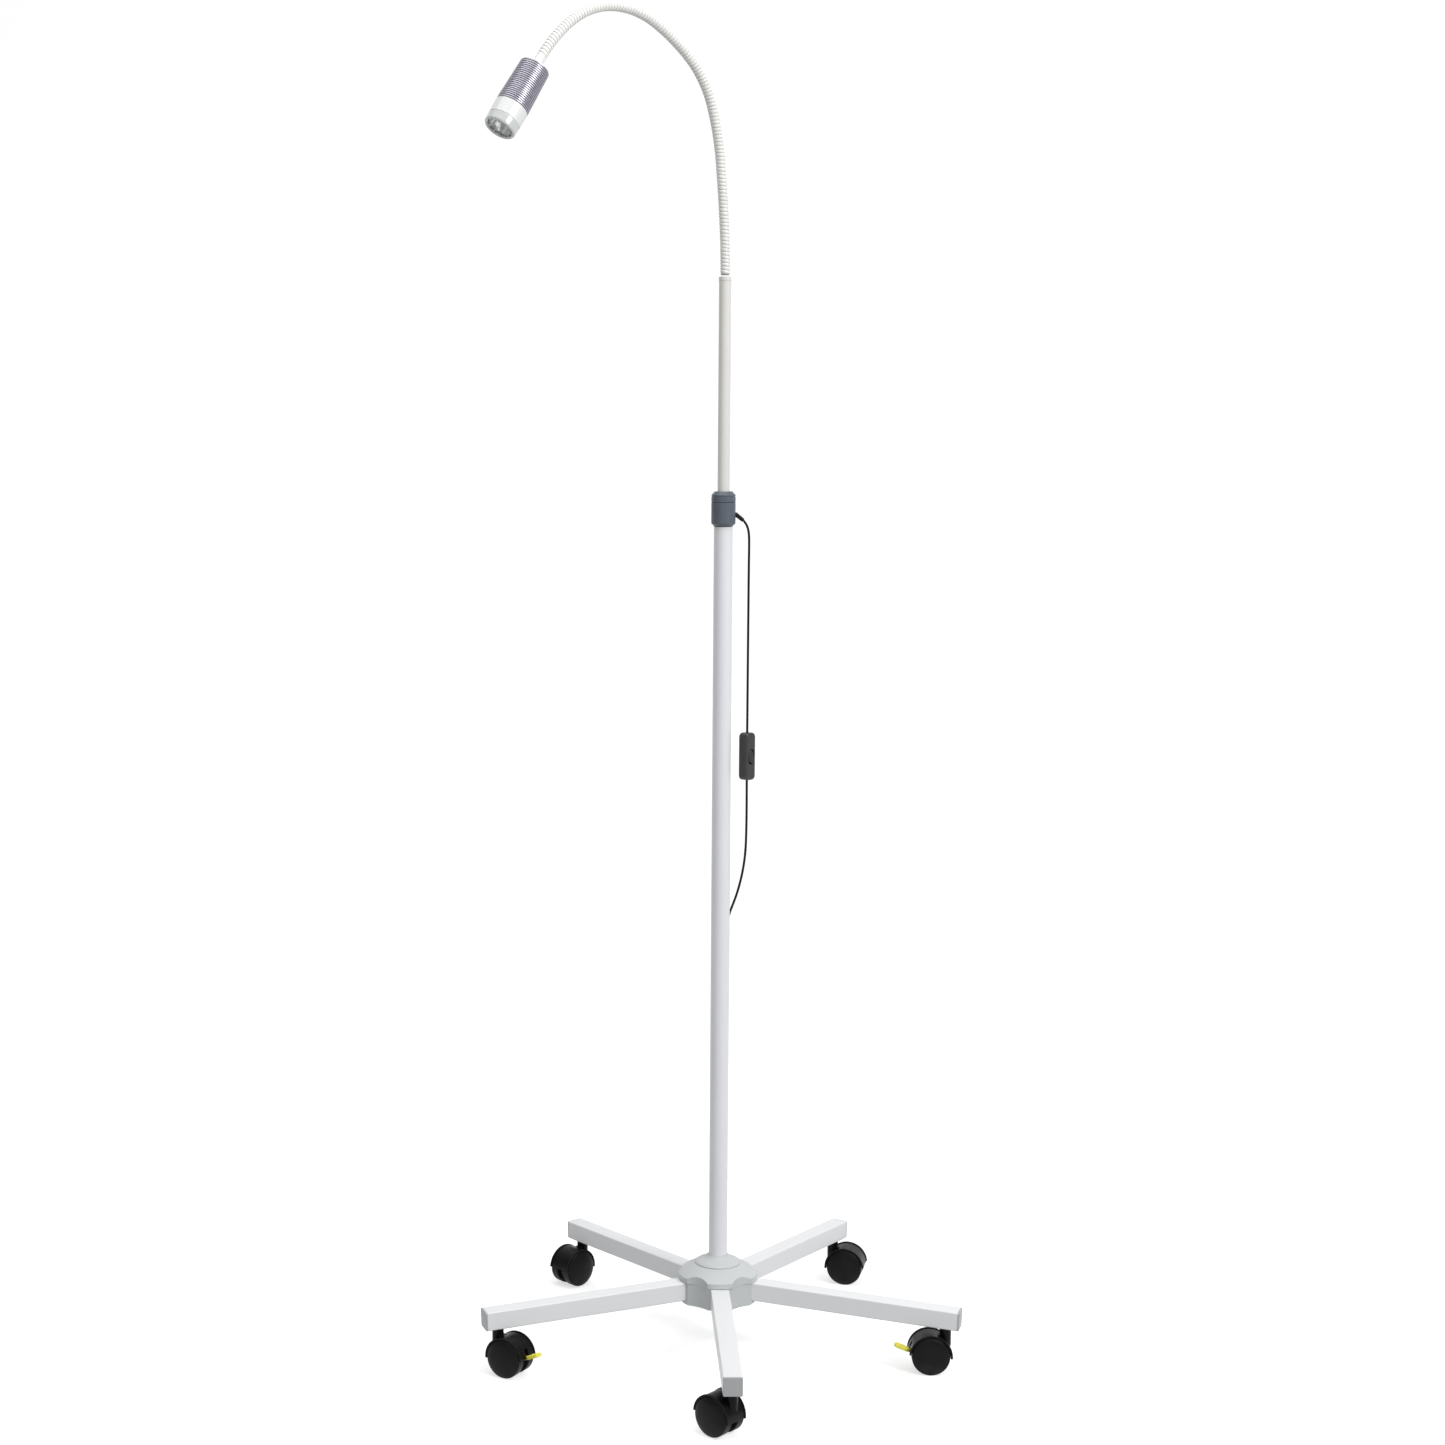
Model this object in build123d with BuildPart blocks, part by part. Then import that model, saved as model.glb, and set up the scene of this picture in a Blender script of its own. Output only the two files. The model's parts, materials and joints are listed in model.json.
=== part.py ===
from build123d import *
import os
from math import cos, pi, radians, sin, tan

# Mobile examination lamp: five-leg base on twin-wheel casters, two-stage pole,
# gooseneck and small LED head. Millimetres, +Z up, origin on the floor under the
# pole axis, the front leg pointing to -Y.

# ---------------------------------------------------------------- driving sizes
FIT = 0.06  # radial clearance of a running fit
GAP = 0.3  # clearance between bodies that only pass each other

# base
LEGS = {"front": -90, "right_front": -18, "right_back": 54, "left_back": 126, "left_front": 198}
LEG_SIZE = 25.0  # square tube
LEG_WALL = 1.5
LEG_DROOP = 2.12  # degrees, from the hub down to the tip
LEG_TIP_TOP = 86.0  # height of the tube's upper face at its end
LEG_START = 27.0  # radius where the tube ends inside the hub
LEG_END = 330.4  # radius where the end cap meets the tube
CAP_LENGTH = 2.6
CAP_INSERT = 26.0
CAP_EDGE = 0.9
STEM_RADIUS = 313.0  # caster stems stand on this circle
STEM_PIN = 4.0  # stem pin radius

HUB_BOTTOM = 66.0
HUB_TOP = 97.0
HUB_RADIUS = 52.6
HUB_SCALLOP = 47.4
HUB_LOBE = 18.3  # half angle of one lobe, degrees
COVER_RADIUS = 54.2
COVER_LIP = 0.3  # proud of the hub in the scallops
COVER_RIM = 103.9
ROSETTE_RADIUS = 31.0
ROSETTE_BASE = 117.2
ROSETTE_EDGE = 118.4
ROSETTE_TOP = 128.8

# pole
POLE_RADIUS = 12.5
POLE_BORE = 11.0
POLE_BOTTOM = 72.0
POLE_TOP = 1115.5
TUBE_RADIUS = 8.0
TUBE_BORE = 6.5
TUBE_BOTTOM = 1095.0
TUBE_COLLAR = 5.0  # length of the rolled end
COUPLER_RADIUS = 16.0
COUPLER_END = 11.6
COUPLER_BOTTOM = 1119.0
COUPLER_SPLIT = 1151.4
COUPLER_TOP = 1165.5
COUPLER_EDGE = 0.4
COUPLER_GROOVE = 0.5
COUPLER_CHAMFER = 4.6
SPIGOT_BOTTOM = 1086.0
COLLET_RADIUS = 11.0

# casters: local X is the trailing direction, Y the axle, Z up, origin under the stem
CASTER_HEADING = {"front": 136, "right_front": 178, "right_back": -16, "left_back": -137, "left_front": -33}
BRAKED = ("right_front", "left_front")
WHEEL_RADIUS = 25.5
WHEEL_INNER = 5.6  # |Y| of the wheel's inner face
WHEEL_TREAD = 18.6  # |Y| where the tread ends
WHEEL_DOME = 22.4  # |Y| of the crown of the outer face
TRAIL = 20.0
AXLE_RADIUS = 3.0
HOOD_INNER = 26.3
HOOD_OUTER = 27.9
HOOD_HALF = 17.4
HOOD_RIM = 0.9  # height of the raised ring round each mouth
HOOD_RIM_WIDTH = 2.6
WEB_HALF = 5.0
WEB_RADIUS = 21.0
NECK_RADIUS = 7.7
NECK_TOP = 60.4
LEVER_PIVOT = (37.5, 24.5)  # local X and height
LEVER_TILT = 22.0
LEVER_REACH = 32.0
LEVER_ARM = 3.0  # half width
LEVER_PIN = 1.2

# gooseneck: eight links in the vertical plane of the arch
NECK_AZIMUTH = 40.0  # of the arch plane, from -X towards -Y
NECK_BASE = 1445.5
NECK_OUTER = 6.5
NECK_BALL_GAP = 0.3
NECK_BORE = 2.6
LINK_LENGTH = 71.0
LINK_TURNS = (4.5, 2.0, 12.5, 30.5, 15.0, 29.0, 32.0, 18.5)  # degrees, forward and down

# head, measured along its own axis from the end of the gooseneck
FERRULE_LENGTH = 16.0
SINK_LENGTH = 61.0
BARREL_LENGTH = 20.0
RING_LENGTH = 12.0
SINK_REAR = 19.4
SINK_FRONT = 21.3
FINS = 22
FIN_DEPTH = 2.2
BARREL_FRONT = 20.9
RING_FRONT = 20.4
LENS_RADIUS = 17.2

# supply lead
CORD_RADIUS = 1.6
RELIEF_ANGLE = 38.0  # below the horizontal
RELIEF_ROOT = (12.0, 1138.6)  # X and Z where the sleeve starts inside the coupler
RELIEF_LENGTH = 18.0
RELIEF_SEAT = 4.8  # where its ribs begin
SWITCH_X = 33.8
SWITCH_BOTTOM = 782.5
SWITCH_LENGTH = 63.6
SWITCH_WIDTH = 19.0
SWITCH_DEPTH = 15.0
SWITCH_TURN = 46.0  # of the rocker face, from -Y towards +X
SWITCH_CORNER = 6.0
SWITCH_EDGE = 3.0
SWITCH_WALL = 2.3
ROCKER_WIDTH = 9.4
ROCKER_LENGTH = 17.6
ROCKER_CORNER = 4.4
ROCKER_THICKNESS = 5.6
ROCKER_PIVOT = 4.2  # below the cover's face
ROCKER_TILT = 9.0
COIL_CENTRE = (-4.0, 157.0)
COIL_OUTER = 22.6  # radius of the outermost turn's centreline
COIL_INNER = 12.7
COIL_PITCH = 3.3
COIL_LAYERS = 4
COIL_FLOOR = 0.2
PLUG_BODY = (38.0, 56.0, 27.0)
PLUG_STAND_OFF = 12.0  # from the coil's outermost turn to the plug
PLUG_SHIFT = 3.0  # of the plug's middle off the lead
PLUG_RELIEF = 25.0  # length of its moulded sleeve
PLUG_PIN_LENGTH = 19.0
PLUG_PIN_RADIUS = 2.0
PLUG_PIN_SPACING = 19.0
CLIP_Y = 18.6  # distance of the clipped lead behind the pole axis
CLIP_HEIGHT = 10.0

# route of the lead: hand-placed points from the sleeve's tip to the switch, then from
# the switch down to the coil on the floor
CORD_UPPER = [
    (29.5, 0.0, 1123.7),
    (32.3, 0.0, 1117.9),
    (34.0, 0.0, 1109.0),
    (34.3, 0.1, 1094.0),
    (34.0, 0.0, 1068.0),
]
CORD_LOWER = [
    (33.8, 0.0, 782.5),
    (34.1, 0.4, 728.0),
    (33.2, 3.2, 676.0),
    (24.6, 10.6, 630.0),
    (10.6, 17.2, 592.0),
    (2.2, CLIP_Y, 552.0),
    (1.0, CLIP_Y + 0.2, 494.0),
    (1.3, CLIP_Y - 0.1, 434.0),
    (1.0, CLIP_Y + 0.2, 374.0),
    (1.3, CLIP_Y - 0.1, 314.0),
    (1.1, CLIP_Y + 0.1, 258.0),
    (1.3, CLIP_Y + 0.3, 206.0),
    (2.2, 26.5, 168.0),
    (3.4, 46.0, 138.0),
    (4.4, 62.5, 110.0),
    (5.0, 68.0, 74.0),
    (5.6, 71.0, 38.0),
    (6.4, 84.0, 10.0),
    (8.6, 110.0, 2.2),
    (15.0, 134.0, 2.0),
    (18.6, 157.0, 2.0),
]
CLIP_RUNS = (5, 10)  # runs of the lower route that the two clips hold


# ---------------------------------------------------------------- helpers
def save(builder, label):
    builder.part.label = label
    export_step(builder.part, f"parts/{label}.step")


def polar(radius, azimuth, height=0.0):
    return Vector(radius * cos(radians(azimuth)), radius * sin(radians(azimuth)), height)


def plane_at(origin, x_dir, z_dir):
    return Plane(origin=origin, x_dir=x_dir, z_dir=z_dir)


def local_plane(frame, origin, x_dir, z_dir):
    """A plane given in the local coordinates of another one."""
    base = frame.from_local_coords(Vector(*origin))
    along = frame.from_local_coords(Vector(*origin) + Vector(*x_dir)) - base
    normal = frame.from_local_coords(Vector(*origin) + Vector(*z_dir)) - base
    return Plane(origin=base, x_dir=along, z_dir=normal)


def bend_radii(points):
    """The radius at each inner corner: 0.45 of the shorter run over the tangent of half the turn."""
    radii = []
    for before, corner, after in zip(points, points[1:], points[2:]):
        run_in = Vector(*corner) - Vector(*before)
        run_out = Vector(*after) - Vector(*corner)
        turn = radians(run_in.get_angle(run_out))
        radii.append(0.45 * min(run_in.length, run_out.length) / tan(turn / 2))
    return radii


def cord_tube(points, label):
    radii = bend_radii(points)
    start = Vector(*points[0])
    with BuildPart() as tube:
        with BuildLine() as route:
            FilletPolyline(*points, radius=radii)
        with BuildSketch(Plane(origin=start, z_dir=Vector(*points[1]) - start)):
            Circle(CORD_RADIUS)
        sweep()
    length = route.wire().length
    section = pi * CORD_RADIUS**2
    print(label, "length", round(length, 1), "tightest bend", round(min(radii), 1))
    print("  volume over section times length:", round(tube.part.volume / (section * length), 4))
    save(tube, label)


def hub_outline(radius, scallop):
    """Five convex lobes over the legs, joined by shallow concave scallops."""
    spacing = 360 / len(LEGS)
    for azimuth in LEGS.values():
        start = polar(radius, azimuth - HUB_LOBE)
        end = polar(radius, azimuth + HUB_LOBE)
        following = polar(radius, azimuth + spacing - HUB_LOBE)
        ThreePointArc(start, polar(radius, azimuth), end)
        ThreePointArc(end, polar(scallop, azimuth + spacing / 2), following)


# ---------------------------------------------------------------- base
def leg_plane(azimuth, radius):
    """On the tube's centreline, looking out along it; its X is level, its Y up."""
    axis = Vector(
        cos(radians(LEG_DROOP)) * cos(radians(azimuth)),
        cos(radians(LEG_DROOP)) * sin(radians(azimuth)),
        -sin(radians(LEG_DROOP)),
    )
    drop = LEG_SIZE / 2 / cos(radians(LEG_DROOP))
    height = LEG_TIP_TOP - drop + (LEG_END - radius) * tan(radians(LEG_DROOP))
    level = Vector(-sin(radians(azimuth)), cos(radians(azimuth)), 0)
    return plane_at(polar(radius, azimuth, height), level, axis)


def along_leg(length):
    return length / cos(radians(LEG_DROOP))


def make_legs():
    for name, azimuth in LEGS.items():
        with BuildPart() as leg:
            with BuildSketch(leg_plane(azimuth, LEG_START)):
                RectangleRounded(LEG_SIZE, LEG_SIZE, 1.6)
                Rectangle(LEG_SIZE - 2 * LEG_WALL, LEG_SIZE - 2 * LEG_WALL, mode=Mode.SUBTRACT)
            extrude(amount=along_leg(LEG_END - LEG_START))
            with BuildSketch(Plane(origin=polar(STEM_RADIUS, azimuth, 50))):
                Circle(STEM_PIN + 0.4)
            extrude(amount=20, mode=Mode.SUBTRACT)
            with BuildSketch(Plane(origin=polar(40, azimuth, HUB_BOTTOM))):
                Circle(2.6)
            extrude(amount=14, mode=Mode.SUBTRACT)
        save(leg, f"leg_{name}")


def make_end_caps():
    inside = LEG_SIZE - 2 * LEG_WALL - 0.2
    with BuildPart() as caps:
        for azimuth in LEGS.values():
            seam = leg_plane(azimuth, LEG_END)
            with BuildSketch(seam):
                RectangleRounded(LEG_SIZE, LEG_SIZE, 2.2)
            extrude(amount=CAP_LENGTH)
            with BuildSketch(seam):
                RectangleRounded(inside, inside, 1.0)
            extrude(amount=-CAP_INSERT)
            with BuildSketch(Plane(origin=polar(STEM_RADIUS, azimuth, 50))):
                Circle(STEM_PIN)
            extrude(amount=32, mode=Mode.SUBTRACT)
        outer = caps.faces().filter_by(GeomType.PLANE).group_by(
            lambda face: round(Vector(face.center().X, face.center().Y, 0).length, 1)
        )[-1]
        fillet(outer.edges(), CAP_EDGE)
    save(caps, "leg_end_caps")


def make_hub_body():
    with BuildPart() as hub:
        with BuildSketch(Plane.XY.offset(HUB_BOTTOM)):
            with BuildLine():
                hub_outline(HUB_RADIUS, HUB_SCALLOP)
            make_face()
        extrude(amount=HUB_TOP - HUB_BOTTOM)
        lower_rim = hub.edges().group_by(Axis.Z)[0]
        chamfer(lower_rim, 0.8)
        for azimuth in LEGS.values():
            with BuildSketch(leg_plane(azimuth, LEG_START)):
                RectangleRounded(LEG_SIZE, LEG_SIZE, 1.6)
            extrude(amount=40, mode=Mode.SUBTRACT)
            with BuildSketch(Plane(origin=polar(40, azimuth, HUB_BOTTOM))):
                Circle(2.6)
            extrude(amount=8, mode=Mode.SUBTRACT)
        with BuildSketch(Plane.XY.offset(POLE_BOTTOM)):
            Circle(POLE_RADIUS)
        extrude(amount=HUB_TOP - POLE_BOTTOM, mode=Mode.SUBTRACT)
        with BuildSketch(Plane.XY.offset(HUB_BOTTOM)):
            Circle(5.2)
        extrude(amount=POLE_BOTTOM - HUB_BOTTOM, mode=Mode.SUBTRACT)
    save(hub, "hub_body")


def make_hub_cover():
    with BuildPart() as cover:
        with BuildSketch(Plane.XY.offset(HUB_TOP)):
            with BuildLine():
                hub_outline(COVER_RADIUS, HUB_SCALLOP + COVER_LIP)
            make_face()
        extrude(amount=ROSETTE_BASE - HUB_TOP)
        with BuildSketch(Plane.XZ):
            with BuildLine():
                slope = Spline(
                    (COVER_RADIUS + 0.5, COVER_RIM - 0.4),
                    (COVER_RADIUS - 4, COVER_RIM + 2.6),
                    (ROSETTE_RADIUS + 4, ROSETTE_BASE - 2.2),
                    (ROSETTE_RADIUS - 1, ROSETTE_BASE),
                )
                Line(slope @ 1, (0, ROSETTE_BASE))
                Line((0, ROSETTE_BASE), (0, HUB_TOP))
                Line((0, HUB_TOP), (COVER_RADIUS + 0.5, HUB_TOP))
                Line((COVER_RADIUS + 0.5, HUB_TOP), slope @ 0)
            make_face()
        revolve(axis=Axis.Z, mode=Mode.INTERSECT)
        with BuildSketch(Plane.XZ):
            with BuildLine():
                Polyline(
                    (POLE_RADIUS + 3, HUB_TOP),
                    (POLE_RADIUS + 3, ROSETTE_BASE - 3),
                    (ROSETTE_RADIUS - 3, ROSETTE_BASE - 3),
                    (HUB_SCALLOP - 5, COVER_RIM + 0.8),
                    (HUB_SCALLOP - 5, HUB_TOP),
                    close=True,
                )
            make_face()
        revolve(axis=Axis.Z, mode=Mode.SUBTRACT)
        with Locations((0, 0, HUB_TOP)):
            Hole(POLE_RADIUS + 0.05)
    save(cover, "hub_cover")


def make_rosette():
    with BuildPart() as rosette:
        with BuildSketch(Plane.XZ):
            with BuildLine():
                dome = Spline(
                    (ROSETTE_RADIUS - 0.5, ROSETTE_EDGE),
                    (24.0, ROSETTE_EDGE + 3.6),
                    (18.0, ROSETTE_EDGE + 6.4),
                    (14.6, ROSETTE_TOP - 1.2),
                )
                Line(dome @ 1, (13.6, ROSETTE_TOP))
                Line((13.6, ROSETTE_TOP), (POLE_RADIUS + 0.05, ROSETTE_TOP))
                Line((POLE_RADIUS + 0.05, ROSETTE_TOP), (POLE_RADIUS + 0.05, ROSETTE_BASE))
                Line((POLE_RADIUS + 0.05, ROSETTE_BASE), (ROSETTE_RADIUS, ROSETTE_BASE))
                Line((ROSETTE_RADIUS, ROSETTE_BASE), (ROSETTE_RADIUS, ROSETTE_EDGE - 0.5))
                Line((ROSETTE_RADIUS, ROSETTE_EDGE - 0.5), dome @ 0)
            make_face()
        revolve(axis=Axis.Z)
    save(rosette, "pole_rosette")


def make_screws():
    with BuildPart() as screws:
        for azimuth in LEGS.values():
            with BuildSketch(Plane(origin=polar(40, azimuth, HUB_BOTTOM - 2.6))):
                Circle(4.4)
            extrude(amount=2.6)
            with BuildSketch(Plane(origin=polar(40, azimuth, HUB_BOTTOM - 2.6))):
                RegularPolygon(2.0, 6)
            extrude(amount=1.6, mode=Mode.SUBTRACT)
            with BuildSketch(Plane(origin=polar(40, azimuth, HUB_BOTTOM))):
                Circle(2.5)
            extrude(amount=13)
    save(screws, "leg_screws")
    with BuildPart() as bolt:
        with BuildSketch(Plane.XY.offset(HUB_BOTTOM - 6.4)):
            RegularPolygon(9.2, 6)
        extrude(amount=6.4)
        chamfer(bolt.edges().group_by(Axis.Z)[0], 0.6)
        with BuildSketch(Plane.XY.offset(HUB_BOTTOM)):
            Circle(5.0)
        extrude(amount=22)
    save(bolt, "pole_bolt")


# ---------------------------------------------------------------- pole
def make_pole():
    with BuildPart() as pole:
        with BuildSketch(Plane.XY.offset(POLE_BOTTOM)):
            Circle(POLE_RADIUS)
            Circle(POLE_BORE, mode=Mode.SUBTRACT)
        extrude(amount=POLE_TOP - POLE_BOTTOM)
        with BuildSketch(Plane.XY.offset(POLE_BOTTOM)):
            Circle(POLE_BORE)
            Circle(5.0, mode=Mode.SUBTRACT)
        extrude(amount=14)
    save(pole, "lower_pole")
    with BuildPart() as bushing:
        with BuildSketch(Plane.XY.offset(POLE_TOP)):
            Circle(POLE_RADIUS)
            Circle(POLE_BORE - 0.6, mode=Mode.SUBTRACT)
        extrude(amount=COUPLER_BOTTOM - POLE_TOP)
        with BuildSketch(Plane.XY.offset(SPIGOT_BOTTOM)):
            Circle(POLE_BORE)
            Circle(POLE_BORE - 0.6, mode=Mode.SUBTRACT)
        extrude(amount=POLE_TOP - SPIGOT_BOTTOM)
    save(bushing, "pole_bushing")


def relief_plane():
    """At the root of the strain relief, looking down along it."""
    axis = Vector(cos(radians(RELIEF_ANGLE)), 0, -sin(radians(RELIEF_ANGLE)))
    return plane_at(Vector(RELIEF_ROOT[0], 0, RELIEF_ROOT[1]), Vector(0, 1, 0), axis)


def make_coupler():
    spigot = POLE_BORE - 0.6
    with BuildPart() as coupler:
        with BuildSketch(Plane.XZ):
            with BuildLine():
                Polyline(
                    (0, SPIGOT_BOTTOM),
                    (spigot, SPIGOT_BOTTOM),
                    (spigot, COUPLER_BOTTOM),
                    (COUPLER_END, COUPLER_BOTTOM),
                    (COUPLER_RADIUS, COUPLER_BOTTOM + COUPLER_CHAMFER),
                    (COUPLER_RADIUS, COUPLER_SPLIT - 0.3 - COUPLER_EDGE),
                    (COUPLER_RADIUS - COUPLER_EDGE, COUPLER_SPLIT - 0.3),
                    (COLLET_RADIUS, COUPLER_SPLIT - 0.3),
                    (COLLET_RADIUS, COUPLER_SPLIT + 8.0),
                    (0, COUPLER_SPLIT + 8.0),
                    close=True,
                )
            make_face()
        revolve(axis=Axis.Z)
        with BuildSketch(Plane.XY.offset(TUBE_BOTTOM)):
            Circle(TUBE_RADIUS + FIT)
        extrude(amount=COUPLER_TOP - TUBE_BOTTOM, mode=Mode.SUBTRACT)
        with BuildSketch(Plane.XY.offset(SPIGOT_BOTTOM)):
            Circle(3.0)
        extrude(amount=TUBE_BOTTOM - SPIGOT_BOTTOM, mode=Mode.SUBTRACT)
        with BuildSketch(relief_plane()):
            Circle(2.4)
        extrude(amount=8, mode=Mode.SUBTRACT)
        with BuildSketch(relief_plane().offset(RELIEF_SEAT)):
            Circle(3.2)
        extrude(amount=8, mode=Mode.SUBTRACT)
    save(coupler, "coupler_body")


def make_clamp_ring():
    with BuildPart() as ring:
        with BuildSketch(Plane.XZ):
            with BuildLine():
                Polyline(
                    (COLLET_RADIUS + GAP, COUPLER_SPLIT),
                    (COUPLER_RADIUS - COUPLER_EDGE, COUPLER_SPLIT),
                    (COUPLER_RADIUS, COUPLER_SPLIT + COUPLER_EDGE),
                    (COUPLER_RADIUS, COUPLER_SPLIT + 6.6),
                    (COUPLER_RADIUS - COUPLER_GROOVE, COUPLER_SPLIT + 7.1),
                    (COUPLER_RADIUS - COUPLER_GROOVE, COUPLER_SPLIT + 8.0),
                    (COUPLER_RADIUS, COUPLER_SPLIT + 8.5),
                    (COUPLER_RADIUS, COUPLER_TOP - COUPLER_CHAMFER),
                    (COUPLER_END, COUPLER_TOP),
                    (TUBE_RADIUS + GAP, COUPLER_TOP),
                    (TUBE_RADIUS + GAP, COUPLER_SPLIT + 8.6),
                    (COLLET_RADIUS + GAP, COUPLER_SPLIT + 8.6),
                    close=True,
                )
            make_face()
        revolve(axis=Axis.Z)
    save(ring, "clamp_ring")


def make_upper_tube():
    with BuildPart() as tube:
        with BuildSketch(Plane.XY.offset(TUBE_BOTTOM + GAP)):
            Circle(TUBE_RADIUS)
            Circle(TUBE_BORE, mode=Mode.SUBTRACT)
        extrude(amount=NECK_BASE - 2.2 - TUBE_BOTTOM - GAP)
        with BuildSketch(Plane.XY.offset(NECK_BASE - 2.2 - TUBE_COLLAR)):
            Circle(TUBE_RADIUS + 0.35)
            Circle(TUBE_BORE, mode=Mode.SUBTRACT)
        extrude(amount=TUBE_COLLAR)
        with BuildSketch(Plane.XY.offset(NECK_BASE - 14)):
            Circle(TUBE_BORE)
            Circle(NECK_BORE, mode=Mode.SUBTRACT)
        extrude(amount=11.8)
        with BuildSketch(Plane.XZ):
            with Locations((0, NECK_BASE)):
                Circle(NECK_OUTER + NECK_BALL_GAP)
                Rectangle(40, 40, align=(Align.MAX, Align.CENTER), mode=Mode.SUBTRACT)
        revolve(axis=Axis.Z, mode=Mode.SUBTRACT)
    save(tube, "upper_tube")


# ---------------------------------------------------------------- gooseneck
def neck_frames():
    """A plane at each link's start and at the end of the last: X runs along the neck,
    Y points out of the bend, Z is the normal of the arch plane."""
    outward = Vector(-cos(radians(NECK_AZIMUTH)), -sin(radians(NECK_AZIMUTH)), 0)
    up = Vector(0, 0, 1)
    place = Vector(0, 0, NECK_BASE)
    heading = 90.0
    frames = []
    for turn in (*LINK_TURNS, None):
        along = outward * cos(radians(heading)) + up * sin(radians(heading))
        away = outward * sin(radians(heading)) * -1 + up * cos(radians(heading))
        frames.append(Plane(origin=place, x_dir=along, z_dir=along.cross(away)))
        if turn is not None:
            bend = LINK_LENGTH / radians(turn)
            chord = 2 * bend * sin(radians(turn / 2))
            middle = radians(heading - turn / 2)
            place = place + (outward * cos(middle) + up * sin(middle)) * chord
            heading -= turn
    return frames


def make_neck():
    """Each link starts in a ball and ends in the socket of the next one's ball."""
    frames = neck_frames()
    socket = NECK_OUTER + NECK_BALL_GAP
    for index, turn in enumerate(LINK_TURNS):
        start = frames[index]
        end = frames[index + 1]
        bend = LINK_LENGTH / radians(turn)
        hub = start.from_local_coords(Vector(0, -bend, 0))
        hinge = Axis(hub, start.z_dir * -1)
        section = Plane(origin=start.origin, x_dir=start.z_dir, z_dir=start.x_dir)
        ball = Plane(origin=start.origin, x_dir=start.x_dir, z_dir=start.z_dir)
        cup = Plane(origin=end.origin, x_dir=end.x_dir, z_dir=end.z_dir)
        with BuildPart() as link:
            with BuildSketch(section):
                Circle(NECK_OUTER)
            revolve(axis=hinge, revolution_arc=turn)
            with BuildSketch(ball):
                Circle(NECK_OUTER)
                Rectangle(40, 40, align=(Align.CENTER, Align.MAX), mode=Mode.SUBTRACT)
            revolve(axis=Axis(start.origin, start.x_dir))
            with BuildSketch(cup):
                Circle(socket)
                Rectangle(40, 40, align=(Align.CENTER, Align.MAX), mode=Mode.SUBTRACT)
            revolve(axis=Axis(end.origin, end.x_dir), mode=Mode.SUBTRACT)
        save(link, f"neck_link_{index + 1}")


# ---------------------------------------------------------------- head
def head_frame():
    return neck_frames()[-1]


def turned(frame, points, label):
    """A turned piece of the head: pairs of distance along the axis and radius."""
    with BuildPart() as piece:
        with BuildSketch(frame):
            with BuildLine():
                Polyline(*points, close=True)
            make_face()
        revolve(axis=Axis(frame.origin, frame.x_dir))
    save(piece, label)


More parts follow.
